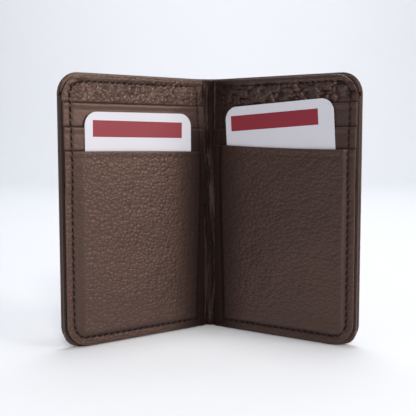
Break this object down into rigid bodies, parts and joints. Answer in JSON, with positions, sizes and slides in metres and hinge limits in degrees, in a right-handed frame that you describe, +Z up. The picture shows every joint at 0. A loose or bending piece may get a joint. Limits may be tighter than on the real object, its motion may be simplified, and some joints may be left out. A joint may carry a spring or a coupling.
{
  "type": "bifold card wallet",
  "caption": "Slim bifold leather card wallet standing open on its lower edges, with stacked card slots and label cards.",
  "frame": {"origin": "centre of the bounding box, on the floor that the open wallet stands on", "axes": "+X across both open leaves, +Y towards the spine's outer face, +Z up along the fold lines"},
  "size_m": [0.1202, 0.0432, 0.11],
  "materials": {
    "cover_leather": "matte pebbled",
    "panel_leather": "matte pebbled",
    "pocket_leather": "matte pebbled",
    "lining_fabric": "woven",
    "stiffener_board": "matte",
    "thread": "twisted",
    "card_stock": "smooth"
  },
  "bodies": {
    "spine": {"spine_cover": "cover_leather", "spine_lining": "lining_fabric", "spine_seam_hem": "cover_leather", "gutter_panel": "panel_leather", "gutter_top_thread": "thread", "spine_cover_thread": "thread"},
    "left_leaf": {"left_cover": "cover_leather", "left_cover_stiffener": "stiffener_board", "left_cover_lining": "lining_fabric", "left_cover_top_hem": "cover_leather", "left_bottom_seam_hem": "cover_leather", "left_side_seam_hem": "cover_leather", "left_panel_lining": "lining_fabric", "left_panel_top_hem": "panel_leather", "left_panel": "panel_leather", "left_top_slot": "pocket_leather", "left_top_slot_liner": "lining_fabric", "left_middle_slot": "pocket_leather", "left_middle_slot_liner": "lining_fabric", "left_front_pocket": "pocket_leather", "left_perimeter_thread": "thread", "left_gutter_thread": "thread", "left_cover_thread": "thread"},
    "left_card": {"left_label_card": "card_stock"},
    "right_leaf": {"right_cover": "cover_leather", "right_cover_stiffener": "stiffener_board", "right_cover_lining": "lining_fabric", "right_cover_top_hem": "cover_leather", "right_bottom_seam_hem": "cover_leather", "right_side_seam_hem": "cover_leather", "right_panel_lining": "lining_fabric", "right_panel_top_hem": "panel_leather", "right_panel": "panel_leather", "right_top_slot": "pocket_leather", "right_top_slot_liner": "lining_fabric", "right_middle_slot": "pocket_leather", "right_middle_slot_liner": "lining_fabric", "right_front_pocket": "pocket_leather", "right_perimeter_thread": "thread", "right_gutter_thread": "thread", "right_cover_thread": "thread"},
    "right_card": {"right_label_card": "card_stock"}
  },
  "joints": [
    {"name": "left_fold", "type": "hinge", "parent": "spine", "child": "left_leaf", "pos_m": [-0.0038, 0.01868, 0.055], "axis": [0, 0, 1], "range_deg": [-35, 55]},
    {"name": "right_fold", "type": "hinge", "parent": "spine", "child": "right_leaf", "pos_m": [0.0038, 0.01868, 0.055], "axis": [0, 0, 1], "range_deg": [-55, 35]},
    {"name": "left_card_slide", "type": "slide", "parent": "left_leaf", "child": "left_card", "axis": [0, 0, 1], "range_m": [0, 0.078]},
    {"name": "right_card_slide", "type": "slide", "parent": "right_leaf", "child": "right_card", "axis": [-0.0472, 0.033, 0.9983], "range_m": [0, 0.078]}
  ],
  "couplings": [
    {"joint": "right_fold", "follows": "left_fold", "ratio": -1}
  ]
}
